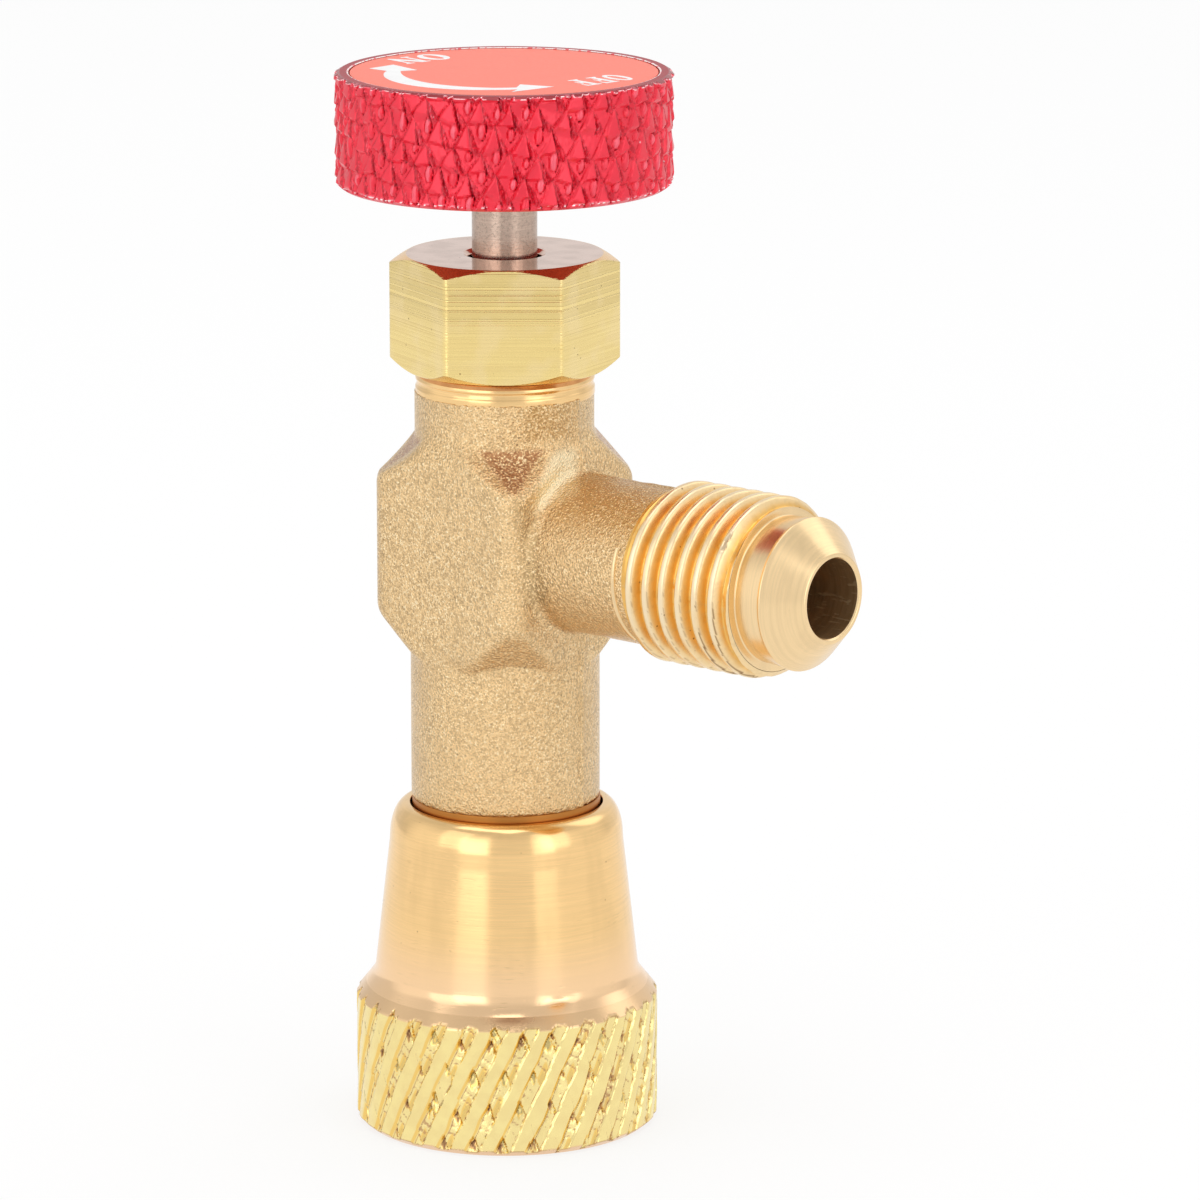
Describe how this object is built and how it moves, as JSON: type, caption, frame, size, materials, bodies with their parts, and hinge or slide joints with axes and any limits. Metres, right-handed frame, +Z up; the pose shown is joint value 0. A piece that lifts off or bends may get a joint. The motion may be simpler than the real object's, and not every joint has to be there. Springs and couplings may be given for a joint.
{
  "type": "refrigerant charging valve",
  "caption": "Upright brass hand valve with a red knurled knob, a male flare side port and a knurled swivel nut that screws on to a service port.",
  "frame": {"origin": "on the spindle's axis, in the plane of the swivel nut's bottom face", "axes": "+Z up along the spindle, +X out along the flare port"},
  "size_m": [0.0361, 0.0206, 0.0662],
  "materials": {
    "forged_brass": "shot-blasted forging, turned and bright at the thread, the flare and the neck's mouth",
    "turned_brass": "fine turned",
    "bonnet_brass": "drawn hexagon bar, fine turned top",
    "spring_wire": "drawn wire",
    "stem_steel": "turned, nickel plated",
    "black_rubber": "smooth moulded",
    "red_anodised": "knurled and red anodised",
    "orange_label": "printed film, satin"
  },
  "bodies": {
    "body": {"valve_body": "forged_brass", "bonnet_nut": "bonnet_brass", "bonnet_seal_ring": "black_rubber", "nut_gasket": "black_rubber", "nut_retaining_ring": "spring_wire"},
    "nut": {"swivel_nut": "turned_brass"},
    "seals": {"spindle_upper_seal": "black_rubber", "spindle_lower_seal": "black_rubber"},
    "stem": {"spindle": "stem_steel", "depressor_pin": "stem_steel", "knob": "red_anodised", "knob_screw": "stem_steel", "knob_label": "orange_label"}
  },
  "joints": [
    {"name": "nut_swivel", "type": "hinge", "parent": "body", "child": "nut", "pos_m": [0, 0, 0], "axis": [0, 0, 1], "continuous": true},
    {"name": "spindle_lift", "type": "slide", "parent": "body", "child": "seals", "axis": [0, 0, 1], "range_m": [-0.003, 0]},
    {"name": "spindle_turn", "type": "hinge", "parent": "seals", "child": "stem", "pos_m": [0, 0, 0.05], "axis": [0, 0, 1], "range_deg": [-1080, 0]}
  ],
  "couplings": [
    {"joint": "spindle_lift", "follows": "spindle_turn", "m_per_rad": 0.00015915}
  ]
}
